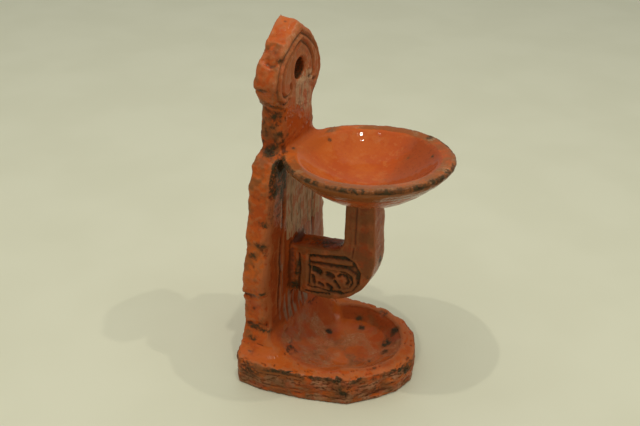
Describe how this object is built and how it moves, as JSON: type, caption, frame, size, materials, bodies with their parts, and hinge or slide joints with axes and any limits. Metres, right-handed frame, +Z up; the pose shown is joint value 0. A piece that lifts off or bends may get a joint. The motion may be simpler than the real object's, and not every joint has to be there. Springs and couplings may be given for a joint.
{
  "type": "earthenware oil lamp",
  "caption": "Hand-made glazed earthenware oil lamp: pierced upright slab, square bent arm with an open oil dish, drip tray at the foot.",
  "frame": {"origin": "On the flat underside, on the slab's centre line, midway between the tray's front and the slab's back", "axes": "+Z up, -Y the front (the side of the oil dish), +X to the lamp's right seen from the front"},
  "size_m": [0.0962, 0.1043, 0.2085],
  "materials": {
    "glazed_clay": "glossy orange-red lead glaze over red earthenware, uneven, with dark spots and bare rubbed edges"
  },
  "bodies": {
    "root": {"lamp": "glazed_clay"}
  },
  "joints": []
}
